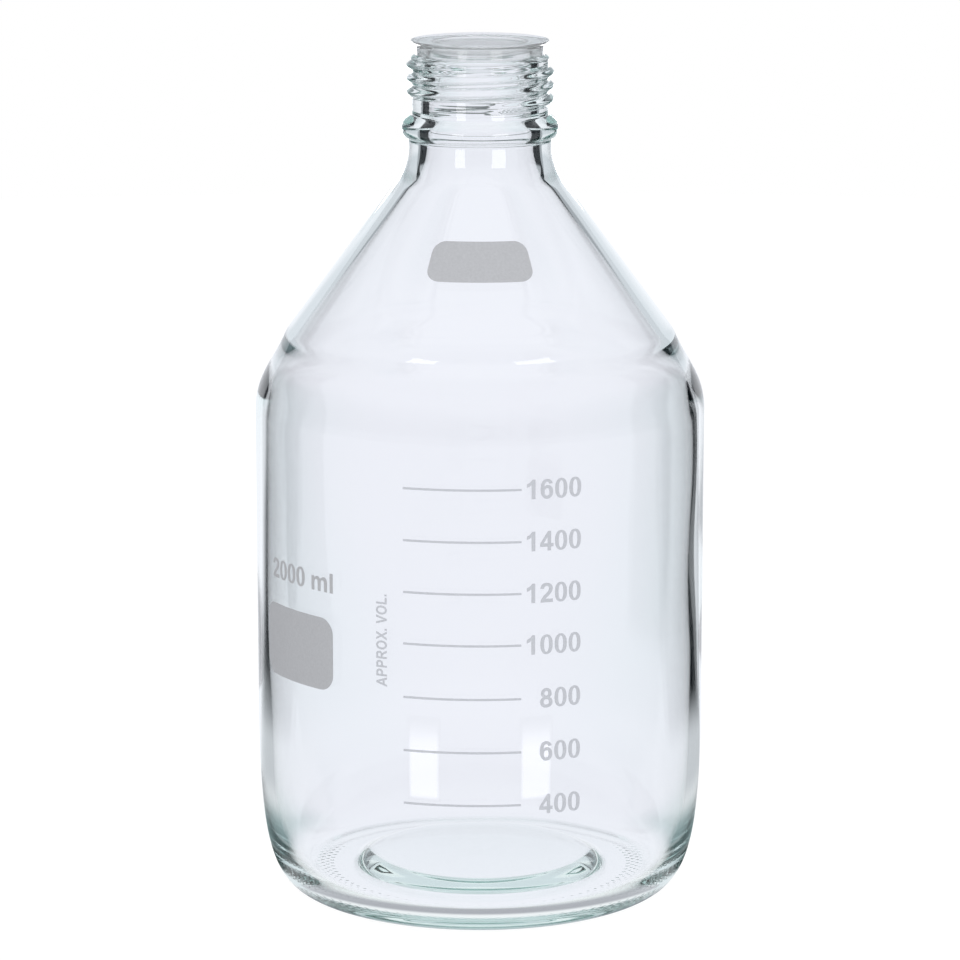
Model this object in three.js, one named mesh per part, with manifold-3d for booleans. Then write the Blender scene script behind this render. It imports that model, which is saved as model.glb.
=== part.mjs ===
// A two litre screw-neck reagent bottle of clear borosilicate glass. A translucent plastic pouring ring sits
// on its rim, and its scale and writing fields are enamel fired onto the wall.
// Millimetres, +Z up. The origin is the centre of the base, on the table, and the scale faces -Y.

import * as THREE from "three";
import { mergeVertices } from "three/addons/utils/BufferGeometryUtils.js";
import Module from "manifold-3d";

const wasm = await Module();
wasm.setup();

const degree = Math.PI / 180;
const v = (radius, height) => new THREE.Vector2(radius, height);

// Body
const bodyRadius = 68;
const wallThickness = 3.8;
const heelHeight = 63.8;
const straightWallHeight = 84.9;
const heelWallPull = 39.4;
const heelBasePull = 14;

// Base
const bearingOuterRadius = 52.9;
const bearingInnerRadius = 46;
const puntStepOuterRadius = 37;
const puntStepInnerRadius = 32;
const puntLedgeHeight = 0.15;
const puntStepHeight = 0.1;
const puntDomeHeight = 0.25;
const domeShare = 0.55;
const floorThickness = 4.85;
const floorRadius = 49;
const floorStepOuterRadius = 38.4;
const floorStepInnerRadius = 33.4;
const floorStepHeight = 3.5;
const floorDomeHeight = 0.2;
const innerHeelHeight = 61.5;
const innerHeelWallPull = 38.4;
const innerHeelFloorPull = 14;

// Shoulder
const bendHeight = 23.3;
const bendInset = 9.3;
const bendPull = 10;
const bendUpperAngle = 21.8 * degree;
const coneAngle = 36.5 * degree;
const shoulderThickness = 4.2;

// Neck and bead
const neckRadius = 21.8;
const neckFilletRadius = 18.8;
const innerFilletRadius = 18;
const neckLength = 2.8;
const neckThickness = 5.9;
const beadRadius = 23.85;
const beadHeight = 7;
const beadNoseHeight = 3.4;
const beadNosePull = 1.8;
const beadFootPull = 0.8;
const beadTopPull = 0.9;

// Mouth and thread
const mouthRadius = 15.3;
const threadRootRadius = 20.75;
const threadHeight = 1.45;
const threadPitch = 4;
const threadHalfWidth = 1.45;
const threadTurns = 2.95;
const threadOffset = 3.5;
const threadSink = 1.2;
const threadEndDip = 0.15;
const threadFade = 45 * degree;
const finishHeight = 17.4;
const finishRound = 1.1;
const rimLedge = 0.4;
const rimHeight = 2.63;
const rimThickness = 2.95;
const rimRound = 0.5;

// Pouring ring
const ringClearance = 0.2;
const ringWall = 1;
const ringTopThickness = 1.05;
const ringTopDip = 0.45;
const lipProjection = 1.15;
const lipEdge = 0.55;
const lipFlat = 0.9;
const skirtGap = 0.3;
const collarThickness = 0.7;
const collarDepth = 1.8;
const openingRound = 0.3;

// Enamel
const enamelGap = 0.06;
const enamelThickness = 0.12;
const enamelStep = 3.4;
const firstLineVolume = 400;
const lineVolumeStep = 200;
const lineCount = 7;
const firstLineHeight = 42.2;
const lowerLinePitch = 16.1;
const upperLinePitch = 15.45;
const lowerLineCount = 3;
const lineWidth = 0.65;
const lineLength = 34.9;
const lineCentre = -5.35;
const lineCorner = 0.12;
const fieldWidth = 34.3;
const fieldHeight = 22;
const fieldCorner = 5;
const fieldCentre = -64.1;
const fieldCentreHeight = 83.7;
const spotWidth = 30;
const spotHeight = 13.5;
const spotCorner = 4;
const spotDrop = 29.1;

// Fineness of the facets
const turnSteps = 56;
const threadSteps = 28;
const heelSteps = 8;
const innerHeelSteps = 6;
const bendSteps = 5;
const innerBendSteps = 4;
const filletSteps = 4;
const cornerSteps = 4;
const roundSteps = 3;
const weldDistance = 1e-4;

// Levels that the pieces share, from the table upwards
const wallTop = heelHeight + straightWallHeight;
const creaseHeight = wallTop + bendHeight;
const creaseRadius = bodyRadius - bendInset;
const coneEndRadius = neckRadius + neckFilletRadius * (1 - Math.cos(coneAngle));
const coneEndHeight = creaseHeight + (creaseRadius - coneEndRadius) / Math.tan(coneAngle);
const neckBottom = coneEndHeight + neckFilletRadius * Math.sin(coneAngle);
const beadBottom = neckBottom + neckLength;
const beadTop = beadBottom + beadHeight;
const finishTop = beadTop + finishHeight;
const rimRadius = mouthRadius + rimThickness;
const rimTop = finishTop + rimLedge + rimHeight;

// Points of a curve between two places, each left along its own pull point
function bend(from, fromPull, toPull, to, steps) {
  return new THREE.CubicBezierCurve(from, fromPull, toPull, to).getPoints(steps);
}

// Points of a round corner, from one angle to another about a centre
function round(centre, radius, fromAngle, toAngle, steps) {
  const points = [];
  for (let i = 0; i <= steps; i++) {
    const angle = fromAngle + ((toAngle - fromAngle) * i) / steps;
    points.push(v(centre.x + radius * Math.cos(angle), centre.y + radius * Math.sin(angle)));
  }
  return points;
}

// The underside: a shallow dome, the step of the mould's centre plug, and the flat ring that it stands on
function puntOutline() {
  const ledge = puntLedgeHeight;
  const step = ledge + puntStepHeight;
  return [
    v(0, step + puntDomeHeight),
    v(puntStepInnerRadius * domeShare, step + puntDomeHeight * (1 - domeShare ** 2)),
    v(puntStepInnerRadius, step),
    v(puntStepOuterRadius, ledge),
    v(bearingInnerRadius, 0),
    v(bearingOuterRadius, 0),
  ];
}

// The bead under the thread: a hollow foot, a round nose and a slope up to the thread's root
function beadOutline() {
  const nose = v(beadRadius, beadBottom + beadNoseHeight);
  const lower = bend(
    v(neckRadius, beadBottom),
    v(neckRadius + beadFootPull, beadBottom),
    v(beadRadius, nose.y - beadNosePull),
    nose,
    roundSteps,
  );
  const upper = bend(
    nose,
    v(beadRadius, nose.y + beadNosePull),
    v(threadRootRadius + beadTopPull, beadTop - beadTopPull),
    v(threadRootRadius, beadTop),
    roundSteps,
  );
  return [...lower, ...upper.slice(1)];
}

// The outside, from the middle of the punt up to the top of the rim
function outerOutline() {
  const heelFoot = v(bearingOuterRadius, 0);
  const heel = bend(
    heelFoot,
    v(bearingOuterRadius + heelBasePull, 0),
    v(bodyRadius, heelHeight - heelWallPull),
    v(bodyRadius, heelHeight),
    heelSteps,
  );
  const crease = v(creaseRadius, creaseHeight);
  const shoulder = bend(
    v(bodyRadius, wallTop),
    v(bodyRadius, wallTop + bendPull),
    v(
      creaseRadius + bendPull * Math.sin(bendUpperAngle),
      creaseHeight - bendPull * Math.cos(bendUpperAngle),
    ),
    crease,
    bendSteps,
  );
  const filletCentre = v(neckRadius + neckFilletRadius, neckBottom);
  const fillet = round(filletCentre, neckFilletRadius, Math.PI + coneAngle, Math.PI, filletSteps);
  const topCentre = v(threadRootRadius - finishRound, finishTop - finishRound);
  return [
    ...puntOutline(),
    ...heel.slice(1),
    ...shoulder,
    ...fillet,
    ...beadOutline(),
    ...round(topCentre, finishRound, 0, Math.PI / 2, roundSteps),
    v(rimRadius, finishTop),
    v(rimRadius, rimTop - rimRound),
    v(rimRadius - rimRound, rimTop),
  ];
}

// The inside, from the rim down to the middle of the floor
function innerOutline() {
  const innerNeckRadius = neckRadius - neckThickness;
  const innerWallRadius = bodyRadius - wallThickness;
  const offsetAcross = shoulderThickness / Math.cos(coneAngle);
  const slope = Math.tan(coneAngle);
  const innerConeAt = (radius) => creaseHeight + (creaseRadius - offsetAcross - radius) / slope;
  const coneEnd = innerNeckRadius + innerFilletRadius * (1 - Math.cos(coneAngle));
  const filletHeight = innerConeAt(coneEnd) + innerFilletRadius * Math.sin(coneAngle);
  const filletCentre = v(innerNeckRadius + innerFilletRadius, filletHeight);
  const innerCreaseRadius = creaseRadius - shoulderThickness;
  const innerCrease = v(innerCreaseRadius, innerConeAt(innerCreaseRadius));
  const floorHeight = puntLedgeHeight + floorThickness;
  const plateauHeight = floorHeight + floorStepHeight;
  return [
    v(mouthRadius + rimRound, rimTop),
    v(mouthRadius, rimTop - rimRound),
    ...bend(
      v(mouthRadius, beadTop),
      v(mouthRadius, beadBottom),
      v(innerNeckRadius, beadBottom),
      v(innerNeckRadius, filletHeight),
      roundSteps,
    ),
    ...round(filletCentre, innerFilletRadius, Math.PI, Math.PI + coneAngle, filletSteps).slice(1),
    ...bend(
      innerCrease,
      v(
        innerCrease.x + bendPull * Math.sin(coneAngle),
        innerCrease.y - bendPull * Math.cos(coneAngle),
      ),
      v(innerWallRadius, wallTop + bendPull),
      v(innerWallRadius, wallTop),
      innerBendSteps,
    ),
    ...bend(
      v(innerWallRadius, innerHeelHeight),
      v(innerWallRadius, innerHeelHeight - innerHeelWallPull),
      v(floorRadius + innerHeelFloorPull, floorHeight),
      v(floorRadius, floorHeight),
      innerHeelSteps,
    ),
    v(floorStepOuterRadius, floorHeight),
    v(floorStepInnerRadius, plateauHeight),
    v(0, plateauHeight + floorDomeHeight),
  ];
}

// A solid of revolution about +Z, with its outline's zero angle at -Y
function turned(outline) {
  const geometry = new THREE.LatheGeometry(outline, turnSteps);
  return geometry.rotateX(Math.PI / 2);
}

// A point on the part: radius, angle from -Y towards +X, height
function polar(radius, angle, height) {
  return [radius * Math.sin(angle), -radius * Math.cos(angle), height];
}

// A closed tube from rings of as many points each, the points running anticlockwise as seen along the tube
function lofted(rings) {
  const positions = rings.flat(2);
  const count = rings[0].length;
  const last = (rings.length - 1) * count;
  const index = [];
  for (let ring = 0; ring < rings.length - 1; ring++) {
    for (let i = 0; i < count; i++) {
      const a = ring * count + i;
      const b = ring * count + ((i + 1) % count);
      index.push(a, a + count, b, b, a + count, b + count);
    }
  }
  for (let i = 1; i < count - 1; i++) {
    index.push(0, i, i + 1);
    index.push(last, last + i + 1, last + i);
  }
  const geometry = new THREE.BufferGeometry();
  geometry.setAttribute("position", new THREE.Float32BufferAttribute(positions, 3));
  geometry.setIndex(index);
  return geometry;
}

// The right-handed thread: a rounded ridge that rises out of the neck and sinks back into it
function threadGeometry() {
  const sectionShares = [
    [0, -1],
    [0.78, -0.52],
    [1, 0],
    [0.78, 0.52],
    [0, 1],
  ];
  const turn = 2 * Math.PI;
  const length = threadTurns * turn;
  const steps = Math.round(threadTurns * threadSteps);
  const start = beadTop + threadOffset;
  const rings = [];
  for (let i = 0; i <= steps; i++) {
    const angle = (length * i) / steps;
    const height = start + (threadPitch * angle) / turn;
    const out = THREE.MathUtils.smoothstep(Math.min(angle, length - angle), 0, threadFade);
    const root = threadRootRadius - (1 - out) * (threadHeight + threadEndDip);
    const ring = sectionShares.map(([rise, along]) =>
      polar(root + threadHeight * rise, angle, height + threadHalfWidth * along),
    );
    ring.unshift(polar(root - threadSink, angle, height - threadHalfWidth));
    ring.push(polar(root - threadSink, angle, height + threadHalfWidth));
    rings.push(ring);
  }
  return lofted(rings);
}

// A closed mesh as a solid for joining, and back
function solidOf(geometry) {
  const bare = new THREE.BufferGeometry();
  bare.setAttribute("position", geometry.getAttribute("position"));
  bare.setIndex(geometry.index);
  const merged = mergeVertices(bare, weldDistance);
  return new wasm.Manifold(
    new wasm.Mesh({
      numProp: 3,
      vertProperties: new Float32Array(merged.attributes.position.array),
      triVerts: new Uint32Array(merged.index.array),
    }),
  );
}

function geometryOf(solid) {
  const mesh = solid.getMesh();
  const geometry = new THREE.BufferGeometry();
  geometry.setAttribute("position", new THREE.BufferAttribute(mesh.vertProperties, 3));
  geometry.setIndex(new THREE.BufferAttribute(mesh.triVerts, 1));
  return geometry;
}

const bottleOutline = outerOutline();

function bottleGeometry() {
  const body = solidOf(turned([...bottleOutline, ...innerOutline()]));
  return geometryOf(body.add(solidOf(threadGeometry())));
}

// The pouring ring: a skirt outside the rim, a short collar inside the mouth and a thin drip lip
function ringGeometry() {
  const skirtInner = rimRadius + ringClearance;
  const skirtOuter = skirtInner + ringWall;
  const skirtBottom = finishTop + skirtGap;
  const underside = rimTop + ringClearance;
  const top = underside + ringTopThickness + ringTopDip;
  const lipRadius = skirtOuter + lipProjection;
  const collarOuter = mouthRadius - ringClearance;
  const collarInner = collarOuter - collarThickness;
  const collarBottom = underside - collarDepth;
  const innerTop = top - ringTopDip;
  const lipUnder = v(lipRadius, top - lipEdge - lipProjection);
  const outline = [
    v(skirtInner, underside),
    v(skirtInner, skirtBottom),
    v(skirtOuter, skirtBottom),
    ...round(lipUnder, lipProjection, Math.PI, Math.PI / 2, roundSteps),
    v(lipRadius, top),
    v(lipRadius - lipFlat, top),
    v(skirtInner, innerTop),
    v(collarInner + openingRound, innerTop),
    v(collarInner, innerTop - openingRound),
    v(collarInner, collarBottom),
    v(collarOuter, collarBottom),
    v(collarOuter, underside),
  ];
  return turned([...outline, outline[0]]);
}

// Radius of the glass outside at a height
function outerRadiusAt(height) {
  for (let i = 1; i < bottleOutline.length; i++) {
    const low = bottleOutline[i - 1];
    const high = bottleOutline[i];
    if (low.x > mouthRadius && low.y <= height && height < high.y) {
      return low.x + ((high.x - low.x) * (height - low.y)) / (high.y - low.y);
    }
  }
  return bodyRadius;
}

// Columns of a rounded rectangle from left to right: the place across, and half the height there
function roundedColumns(width, height, corner) {
  const left = width / 2 - corner;
  const columns = [];
  for (let i = 0; i <= cornerSteps; i++) {
    const angle = ((Math.PI / 2) * i) / cornerSteps;
    columns.push([-left - corner * Math.cos(angle), height / 2 - corner * (1 - Math.sin(angle))]);
  }
  const steps = Math.ceil((2 * left) / enamelStep);
  for (let i = 1; i < steps; i++) {
    columns.push([-left + (2 * left * i) / steps, height / 2]);
  }
  const mirrored = columns.slice(0, cornerSteps + 1).reverse();
  return [...columns, ...mirrored.map(([across, half]) => [-across, half])];
}

// A thin layer of enamel on the glass, from columns, about a centre given along the wall and up
function enamelGeometry(columns, centreAcross, centreHeight, lean) {
  const reach = outerRadiusAt(centreHeight);
  const rings = columns.map(([across, half]) => {
    const angle = (centreAcross + across) / reach;
    const low = centreHeight - half * Math.cos(lean);
    const high = centreHeight + half * Math.cos(lean);
    const lowRadius = outerRadiusAt(low) + enamelGap / Math.cos(lean);
    const highRadius = outerRadiusAt(high) + enamelGap / Math.cos(lean);
    const skin = enamelThickness / Math.cos(lean);
    return [
      polar(lowRadius, angle, low),
      polar(lowRadius + skin, angle, low),
      polar(highRadius + skin, angle, high),
      polar(highRadius, angle, high),
    ];
  });
  return lofted(rings);
}

const glass = new THREE.MeshStandardMaterial({
  color: 0xe6f1ef,
  roughness: 0.03,
  metalness: 0,
  transparent: true,
  opacity: 0.35,
});
const ringPlastic = new THREE.MeshStandardMaterial({ color: 0xdfe3e4, roughness: 0.35, metalness: 0 });
const enamel = new THREE.MeshStandardMaterial({ color: 0xb9bcc2, roughness: 0.6, metalness: 0 });

const reagentBottle = new THREE.Group();

function addPiece(name, geometry, material) {
  geometry.computeVertexNormals();
  const piece = new THREE.Mesh(geometry, material);
  piece.name = name;
  reagentBottle.add(piece);
}

addPiece("glass_bottle", bottleGeometry(), glass);
addPiece("pouring_ring", ringGeometry(), ringPlastic);

const lineColumns = roundedColumns(lineLength, lineWidth, lineCorner);
for (let i = 0; i < lineCount; i++) {
  const lowerSteps = Math.min(i, lowerLineCount);
  const height = firstLineHeight + lowerLinePitch * lowerSteps + upperLinePitch * (i - lowerSteps);
  const name = "graduation_line_" + (firstLineVolume + lineVolumeStep * i);
  addPiece(name, enamelGeometry(lineColumns, lineCentre, height, 0), enamel);
}

const fieldColumns = roundedColumns(fieldWidth, fieldHeight, fieldCorner);
addPiece("marking_field", enamelGeometry(fieldColumns, fieldCentre, fieldCentreHeight, 0), enamel);

const spotColumns = roundedColumns(spotWidth, spotHeight, spotCorner);
const spotCentreHeight = neckBottom - spotDrop;
addPiece("shoulder_spot", enamelGeometry(spotColumns, 0, spotCentreHeight, coneAngle), enamel);

export default reagentBottle;
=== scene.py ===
# A two litre screw-neck reagent bottle of clear glass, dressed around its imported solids.
# Lengths are named in millimetres, as on the part, and turned into metres as each mesh is made.

import math

import bmesh
import bpy
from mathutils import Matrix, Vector
from mathutils.geometry import tessellate_polygon


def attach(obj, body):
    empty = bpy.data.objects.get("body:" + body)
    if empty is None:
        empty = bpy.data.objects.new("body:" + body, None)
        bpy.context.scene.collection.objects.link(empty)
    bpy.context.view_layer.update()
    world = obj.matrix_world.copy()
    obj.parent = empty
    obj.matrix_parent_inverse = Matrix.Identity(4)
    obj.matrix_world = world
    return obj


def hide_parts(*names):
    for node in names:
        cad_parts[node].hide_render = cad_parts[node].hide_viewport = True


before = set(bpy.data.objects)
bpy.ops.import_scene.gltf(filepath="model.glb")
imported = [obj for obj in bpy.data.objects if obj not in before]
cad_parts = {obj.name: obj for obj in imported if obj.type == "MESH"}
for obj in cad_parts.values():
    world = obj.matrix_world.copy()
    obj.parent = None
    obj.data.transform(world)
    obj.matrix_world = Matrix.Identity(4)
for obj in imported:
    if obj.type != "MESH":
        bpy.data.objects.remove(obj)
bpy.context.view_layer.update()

MM = 0.001
TURN = 2 * math.pi
DEGREE = math.pi / 180
scene = bpy.context.scene

# Camera
CAMERA_DISTANCE = 1308
CAMERA_HEIGHT = 400.4
CAMERA_DIP = 11.86 * DEGREE
LENS = 164.57
SENSOR_WIDTH = 36

camera_data = bpy.data.cameras.new("camera")
camera_data.lens = LENS
camera_data.sensor_width = SENSOR_WIDTH
camera_data.clip_start = 0.1
camera_data.clip_end = 50
camera = bpy.data.objects.new("camera", camera_data)
camera.location = (0, -CAMERA_DISTANCE * MM, CAMERA_HEIGHT * MM)
camera.rotation_euler = (math.pi / 2 - CAMERA_DIP, 0, 0)
scene.collection.objects.link(camera)
scene.camera = camera

# Body
BODY_RADIUS = 68
WALL = 3.8
HEEL_HEIGHT = 63.8
STRAIGHT_HEIGHT = 84.9
HEEL_WALL_PULL = 39.4
HEEL_BASE_PULL = 14

# Base. Leads and margins are the small gaps between one run of the outline and the next.
BEARING_OUTER = 52.9
BEARING_INNER = 46
PUNT_OUTER = 37
PUNT_INNER = 32
PUNT_LEDGE = 0.15
PUNT_STEP = 0.1
PUNT_DOME = 0.25
PUNT_EASE = 1.6
DOME_EASE = 4
DOME_BEND_SHARE = 0.55
DOME_FALL_SHARE = 0.7
FLOOR_THICKNESS = 4.85
FLOOR_RADIUS = 49
FLOOR_STEP_OUTER = 38.4
FLOOR_STEP_INNER = 33.4
FLOOR_STEP = 3.5
FLOOR_STEP_OUTER_EASE = 2.2
FLOOR_STEP_INNER_EASE = 2.4
FLOOR_DOME = 0.2
INNER_HEEL_HEIGHT = 61.5
INNER_HEEL_WALL_PULL = 38.4
INNER_HEEL_FLOOR_PULL = 14
DOT_ROWS = 4
DOT_INSET = 0.8
DOT_PITCH = 1.7
DOTS_ROUND = 88
DOT_RADIUS = 0.8
DOT_HEIGHT = 0.15
DOT_POWER = 1.5
DOT_WEAR = 0.93
DOT_WEAR_FADE = (0.02, 0.5)
STIPPLE_MARGIN = 0.3
STIPPLE_LEAD = 0.6
HEEL_LEAD = 0.1
HEEL_CLEAR = 1.2

# Shoulder
BEND_HEIGHT = 23.3
BEND_INSET = 9.3
BEND_PULL = 10
BEND_UPPER_ANGLE = 21.8 * DEGREE
CONE_ANGLE = 36.5 * DEGREE
SHOULDER_THICKNESS = 4.2
CREASE_EASE = 2.4

# Neck and bead
NECK_RADIUS = 21.8
NECK_FILLET = 18.8
INNER_FILLET = 18
NECK_LENGTH = 2.8
NECK_THICKNESS = 5.9
BEAD_RADIUS = 23.85
BEAD_HEIGHT = 7
BEAD_LEAD = 0.25
BEAD_FOOT = 0.12
BEAD_NOSE = 3.4
BEAD_NOSE_PULL = 1.8
BEAD_FOOT_PULL = 0.8
BEAD_TOP_PULL = 0.9

# Mouth and thread
MOUTH_RADIUS = 15.3
THREAD_ROOT = 20.75
THREAD_HEIGHT = 1.45
THREAD_PITCH = 4
THREAD_HALF_WIDTH = 1.75
THREAD_TURNS = 2.95
THREAD_OFFSET = 3.5
THREAD_FADE = 45 * DEGREE
THREAD_POWER = 0.8
FINISH_HEIGHT = 17.4
FINISH_ROUND = 1.1
RIM_LEDGE = 0.4
RIM_HEIGHT = 2.63
RIM_THICKNESS = 2.95
RIM_ROUND = 0.5
RIM_FOOT_EASE = 0.25

# Unevenness of the blown glass. Each wave is its share, its lobes round the bottle, its climb per
# millimetre and its start; a fade is the pair of heights between which something grows or ends.
GLASS_WAVES = (
    (1, 2, 0.031, 1.3),
    (0.7, 3, -0.052, 2.1),
    (0.5, 5, 0.083, 0.7),
    (0.3, 9, -0.11, 1.9),
)
GLASS_WAVES_PEAK = 2.5
OUTSIDE_WAVE = 0.02
OUTSIDE_FOOT_FADE = (5, 40)
OUTSIDE_TOP_FADE_START = 190
INSIDE_WAVE = 0.22
INSIDE_FOOT_FADE = (14, 50)
INSIDE_TOP_FADE_START = 200
THIN_WALL = 0.6
THIN_FOOT_FADE = (55, 115)
THIN_TOP_FADE = (160, 200)
THIN_SIDE = -90 * DEGREE
THIN_SPREAD = (0.1, 0.95)
RIPPLE_WAVES = ((1, 2, 5.1, 0), (0.8, -3, 8.3, 1.7))
RIPPLE = 0.011

# Pouring ring
RING_CLEARANCE = 0.2
RING_WALL = 1
RING_TOP = 1.05
RING_DIP = 0.45
LIP_PROJECTION = 1.15
LIP_EDGE = 0.55
LIP_FLAT = 0.9
SKIRT_GAP = 0.3
COLLAR_THICKNESS = 0.7
COLLAR_DEPTH = 1.8
SKIRT_INNER_EASE = 0.15
SKIRT_OUTER_EASE = 0.25
LIP_EASE = 0.2
LIP_FLAT_EASE = 0.3
BOWL_EASE = 0.5
BOWL_EDGE_EASE = 0.35
COLLAR_EASE = 0.12
COLLAR_TOP_EASE = 0.1

# Enamel
ENAMEL_GAP = 0.06
ENAMEL_THICKNESS = 0.12
LINE_COUNT = 7
FIRST_VOLUME = 400
VOLUME_STEP = 200
FIRST_LINE_HEIGHT = 42.2
LOWER_LINE_PITCH = 16.1
UPPER_LINE_PITCH = 15.45
LOWER_LINES = 3
FIELD_WIDTH = 34.3
FIELD_HEIGHT = 22
FIELD_CORNER = 5
FIELD_CENTRE = -64.1
FIELD_CENTRE_HEIGHT = 83.7
SPOT_WIDTH = 30
SPOT_HEIGHT = 13.5
SPOT_CORNER = 4
SPOT_DROP = 29.1
NUMERAL_HEIGHT = 5.8
NUMERAL_RIGHT = 25.8 * DEGREE
NUMERAL_STRETCH = 0.975
NOTE_HEIGHT = 3.4
NOTE_STRETCH = 0.83
NOTE_BASELINE = -23.6 * DEGREE
NOTE_FOOT = 76.9
VOLUME_HEIGHT = 5.9
VOLUME_LEFT = -65.2 * DEGREE
VOLUME_BASELINE = 102.6
VOLUME_STRETCH = 1.03

# Levels, from the table upwards
WALL_TOP = HEEL_HEIGHT + STRAIGHT_HEIGHT
CREASE_HEIGHT = WALL_TOP + BEND_HEIGHT
CREASE_RADIUS = BODY_RADIUS - BEND_INSET
CONE_END_RADIUS = NECK_RADIUS + NECK_FILLET * (1 - math.cos(CONE_ANGLE))
CONE_END_HEIGHT = CREASE_HEIGHT + (CREASE_RADIUS - CONE_END_RADIUS) / math.tan(CONE_ANGLE)
NECK_BOTTOM = CONE_END_HEIGHT + NECK_FILLET * math.sin(CONE_ANGLE)
BEAD_BOTTOM = NECK_BOTTOM + NECK_LENGTH
BEAD_TOP = BEAD_BOTTOM + BEAD_HEIGHT
FINISH_TOP = BEAD_TOP + FINISH_HEIGHT
RIM_RADIUS = MOUTH_RADIUS + RIM_THICKNESS
RIM_TOP = FINISH_TOP + RIM_LEDGE + RIM_HEIGHT

# Fineness: steps along runs of an outline, pitches of points on straight runs, and steps round
BEARING_STEPS = 22
HEEL_STEPS = 34
WALL_STEPS = 22
SHOULDER_STEPS = 22
CREASE_STEPS = 4
CONE_STEPS = 14
FILLET_STEPS = 20
BEAD_STEPS = 10
THREAD_STEPS = 92
FINISH_STEPS = 6
RIM_STEPS = 3
MOUTH_STEPS = 10
THROAT_STEPS = 14
INNER_FILLET_STEPS = 18
INNER_SHOULDER_STEPS = 20
INNER_WALL_STEPS = 26
INNER_HEEL_STEPS = 32
LIP_STEPS = 8
CORNER_STEPS = 8
EASE_STEPS = 5
SMALL_EASE_STEPS = 3
BASE_PITCH = 2.2
FLOOR_PITCH = 2.4
RIM_PITCH = 1.5
RING_PITCH = 0.8
FIELD_PITCH = 1.2
SPOT_PITCH = 1
PATCH_ROWS = 6
TURN_STEPS = 176
DOT_TURN_STEPS = 5 * TURN_STEPS
RING_TURN_STEPS = 160


def mix(low, high, share):
    return low + (high - low) * share


def between(low, high, steps):
    """Even values between two ends, without the ends."""
    return [mix(low, high, i / steps) for i in range(1, steps)]


def smooth(value, low, high):
    share = min(max((value - low) / (high - low), 0), 1)
    return share * share * (3 - 2 * share)


def bend(start, start_pull, end_pull, end, steps):
    """Points of a cubic curve between two places."""
    points = []
    for i in range(steps + 1):
        t = i / steps
        shares = ((1 - t) ** 3, 3 * t * (1 - t) ** 2, 3 * t * t * (1 - t), t ** 3)
        at = [0, 0]
        for share, point in zip(shares, (start, start_pull, end_pull, end)):
            at[0] += share * point[0]
            at[1] += share * point[1]
        points.append(tuple(at))
    return points


def arc(centre, radius, start, end, steps):
    """Points of a round corner about a centre."""
    points = []
    for i in range(steps + 1):
        angle = mix(start, end, i / steps)
        points.append((centre[0] + radius * math.cos(angle), centre[1] + radius * math.sin(angle)))
    return points


def eased(corners, pitch, steps=EASE_STEPS):
    """Straight lines with eased corners: radius, height and how far back each easing starts."""
    points = []
    for i, (x, y, back) in enumerate(corners):
        here = Vector((x, y))
        if back == 0 or i in (0, len(corners) - 1):
            points.append((x, y))
            continue
        before = (Vector(corners[i - 1][:2]) - here).normalized() * back
        after = (Vector(corners[i + 1][:2]) - here).normalized() * back
        for k in range(steps + 1):
            t = k / steps
            at = here + before * (1 - t) ** 2 + after * t * t
            points.append((at.x, at.y))
    filled = [points[0]]
    for start, end in zip(points, points[1:]):
        count = max(1, math.ceil(math.dist(start, end) / pitch))
        for k in range(1, count + 1):
            filled.append((mix(start[0], end[0], k / count), mix(start[1], end[1], k / count)))
    return filled


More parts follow.
